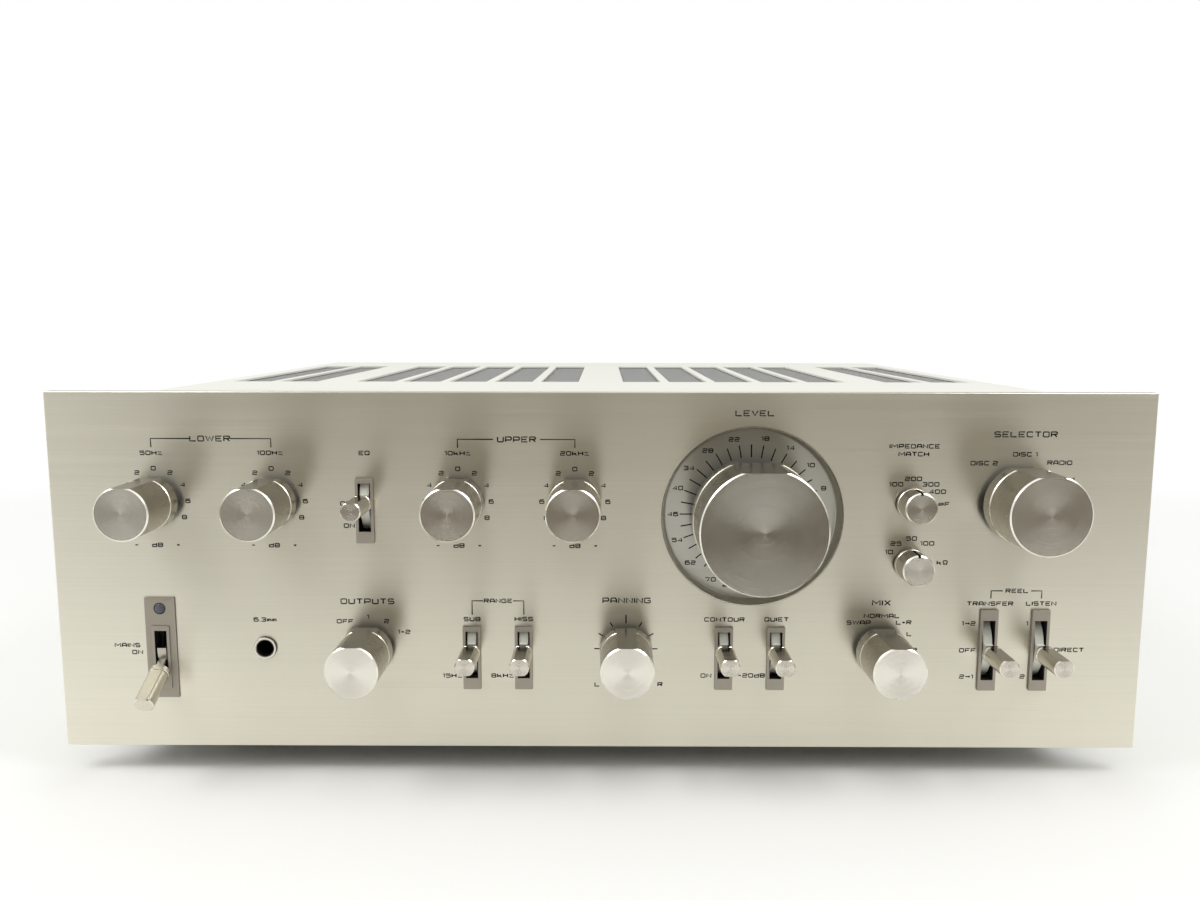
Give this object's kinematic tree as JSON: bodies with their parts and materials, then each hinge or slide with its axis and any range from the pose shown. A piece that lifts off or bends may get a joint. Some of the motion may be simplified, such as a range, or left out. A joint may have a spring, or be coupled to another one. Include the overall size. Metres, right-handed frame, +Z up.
{
  "type": "stereo amplifier",
  "caption": "Full-width integrated stereo amplifier with a brushed metal faceplate, rotary knobs, bat levers, a recessed volume dial and a vented metal case.",
  "frame": {"origin": "centre of the footprint, on the surface that the amplifier stands on", "axes": "+X to the right as seen from the front, +Y towards the back, +Z up"},
  "size_m": [0.42, 0.391, 0.15],
  "materials": {
    "faceplate": "brushed along its length, anodised a pale champagne",
    "knob": "turned sides and a spun front face, anodised silver",
    "lever": "turned and polished, with a spun end",
    "dial": "brushed floor inside a dark sloping wall",
    "bezel": "satin warm grey",
    "lens": "clear grey-blue",
    "jack": "satin nickel ring with a black lining",
    "zinc": "zinc plated sheet and cans",
    "switch": "moulded black",
    "board": "brown circuit board",
    "cover": "fine textured pale paint",
    "mesh": "black woven wire",
    "rear": "satin dark grey paint",
    "rubber": "black moulded rubber",
    "core": "black varnished laminations",
    "can": "blue sleeved can",
    "sink": "black anodised fins",
    "socket": "nickel plated pin sockets",
    "terminal": "black moulded caps"
  },
  "bodies": {
    "amplifier": {"front_panel": "faceplate", "sub_panel": "zinc", "volume_dial": "dial", "lamp_lens": "lens", "phones_jack": "jack", "power_bezel": "bezel", "tone_bezel": "bezel", "low_filter_bezel": "bezel", "high_filter_bezel": "bezel", "loudness_bezel": "bezel", "muting_bezel": "bezel", "tape_copy_bezel": "bezel", "tape_monitor_bezel": "bezel", "tone_controls": "board", "volume_control": "zinc", "source_switch": "zinc", "load_switches": "zinc", "speakers_switch": "zinc", "balance_control": "zinc", "mode_switch": "zinc", "power_switch": "switch", "filter_switches": "switch", "loudness_switches": "switch", "tape_switches": "switch", "chassis_pan": "zinc", "top_cover": "cover", "vent_mesh": "mesh", "front_left_foot": "rubber", "front_right_foot": "rubber", "rear_left_foot": "rubber", "rear_right_foot": "rubber", "transformer": "core", "left_capacitor": "can", "right_capacitor": "can", "left_heat_sink": "sink", "right_heat_sink": "sink", "amplifier_board": "board", "rear_panel": "rear", "input_sockets": "socket", "speaker_terminals": "terminal", "cord_gland": "terminal"},
    "bass_low_knob": {"bass_low_knob": "knob"},
    "bass_high_knob": {"bass_high_knob": "knob"},
    "treble_low_knob": {"treble_low_knob": "knob"},
    "treble_high_knob": {"treble_high_knob": "knob"},
    "volume_knob": {"volume_knob": "knob"},
    "source_knob": {"source_knob": "knob"},
    "load_upper_knob": {"load_upper_knob": "knob"},
    "load_lower_knob": {"load_lower_knob": "knob"},
    "speakers_knob": {"speakers_knob": "knob"},
    "balance_knob": {"balance_knob": "knob"},
    "mode_knob": {"mode_knob": "knob"},
    "power_lever": {"power_lever": "lever"},
    "tone_lever": {"tone_lever": "lever"},
    "low_filter_lever": {"low_filter_lever": "lever"},
    "high_filter_lever": {"high_filter_lever": "lever"},
    "loudness_lever": {"loudness_lever": "lever"},
    "muting_lever": {"muting_lever": "lever"},
    "tape_copy_lever": {"tape_copy_lever": "lever"},
    "tape_monitor_lever": {"tape_monitor_lever": "lever"}
  },
  "joints": [
    {"name": "bass_low_turn", "type": "hinge", "parent": "amplifier", "child": "bass_low_knob", "pos_m": [-0.16989, -0.1755, 0.1082], "axis": [0, 1, 0], "range_deg": [-120, 120]},
    {"name": "bass_high_turn", "type": "hinge", "parent": "amplifier", "child": "bass_high_knob", "pos_m": [-0.12495, -0.1755, 0.1082], "axis": [0, 1, 0], "range_deg": [-120, 120]},
    {"name": "treble_low_turn", "type": "hinge", "parent": "amplifier", "child": "treble_low_knob", "pos_m": [-0.05397, -0.1755, 0.1082], "axis": [0, 1, 0], "range_deg": [-120, 120]},
    {"name": "treble_high_turn", "type": "hinge", "parent": "amplifier", "child": "treble_high_knob", "pos_m": [-0.00945, -0.1755, 0.1082], "axis": [0, 1, 0], "range_deg": [-120, 120]},
    {"name": "volume_turn", "type": "hinge", "parent": "amplifier", "child": "volume_knob", "pos_m": [0.05838, -0.1755, 0.10233], "axis": [0, 1, 0], "range_deg": [-160, 150]},
    {"name": "source_turn", "type": "hinge", "parent": "amplifier", "child": "source_knob", "pos_m": [0.16002, -0.1755, 0.1082], "axis": [0, 1, 0], "range_deg": [-30, 60]},
    {"name": "load_upper_turn", "type": "hinge", "parent": "amplifier", "child": "load_upper_knob", "pos_m": [0.11886, -0.1755, 0.10792], "axis": [0, 1, 0], "range_deg": [-30, 60]},
    {"name": "load_lower_turn", "type": "hinge", "parent": "amplifier", "child": "load_lower_knob", "pos_m": [0.11886, -0.1755, 0.08443], "axis": [0, 1, 0], "range_deg": [-60, 30]},
    {"name": "speakers_turn", "type": "hinge", "parent": "amplifier", "child": "speakers_knob", "pos_m": [-0.08988, -0.1755, 0.05018], "axis": [0, 1, 0], "range_deg": [-30, 60]},
    {"name": "balance_turn", "type": "hinge", "parent": "amplifier", "child": "balance_knob", "pos_m": [0.01029, -0.1755, 0.05018], "axis": [0, 1, 0], "range_deg": [-150, 150]},
    {"name": "mode_turn", "type": "hinge", "parent": "amplifier", "child": "mode_knob", "pos_m": [0.10899, -0.1755, 0.05018], "axis": [0, 1, 0], "range_deg": [-30, 90]},
    {"name": "power_tip", "type": "hinge", "parent": "amplifier", "child": "power_lever", "pos_m": [-0.17031, -0.1515, 0.05018], "axis": [1, 0, 0], "range_deg": [-27, 0]},
    {"name": "tone_tip", "type": "hinge", "parent": "amplifier", "child": "tone_lever", "pos_m": [-0.08967, -0.1515, 0.1082], "axis": [1, 0, 0], "range_deg": [0, 27]},
    {"name": "low_filter_tip", "type": "hinge", "parent": "amplifier", "child": "low_filter_lever", "pos_m": [-0.04956, -0.1515, 0.05018], "axis": [1, 0, 0], "range_deg": [0, 27]},
    {"name": "high_filter_tip", "type": "hinge", "parent": "amplifier", "child": "high_filter_lever", "pos_m": [-0.0294, -0.1515, 0.05018], "axis": [1, 0, 0], "range_deg": [0, 27]},
    {"name": "loudness_tip", "type": "hinge", "parent": "amplifier", "child": "loudness_lever", "pos_m": [0.0483, -0.1515, 0.05018], "axis": [1, 0, 0], "range_deg": [0, 27]},
    {"name": "muting_tip", "type": "hinge", "parent": "amplifier", "child": "muting_lever", "pos_m": [0.06846, -0.1515, 0.05018], "axis": [1, 0, 0], "range_deg": [0, 27]},
    {"name": "tape_copy_tip", "type": "hinge", "parent": "amplifier", "child": "tape_copy_lever", "pos_m": [0.15057, -0.1515, 0.05018], "axis": [1, 0, 0], "range_deg": [-20, 20]},
    {"name": "tape_monitor_tip", "type": "hinge", "parent": "amplifier", "child": "tape_monitor_lever", "pos_m": [0.17052, -0.1515, 0.05018], "axis": [1, 0, 0], "range_deg": [-20, 20]}
  ]
}
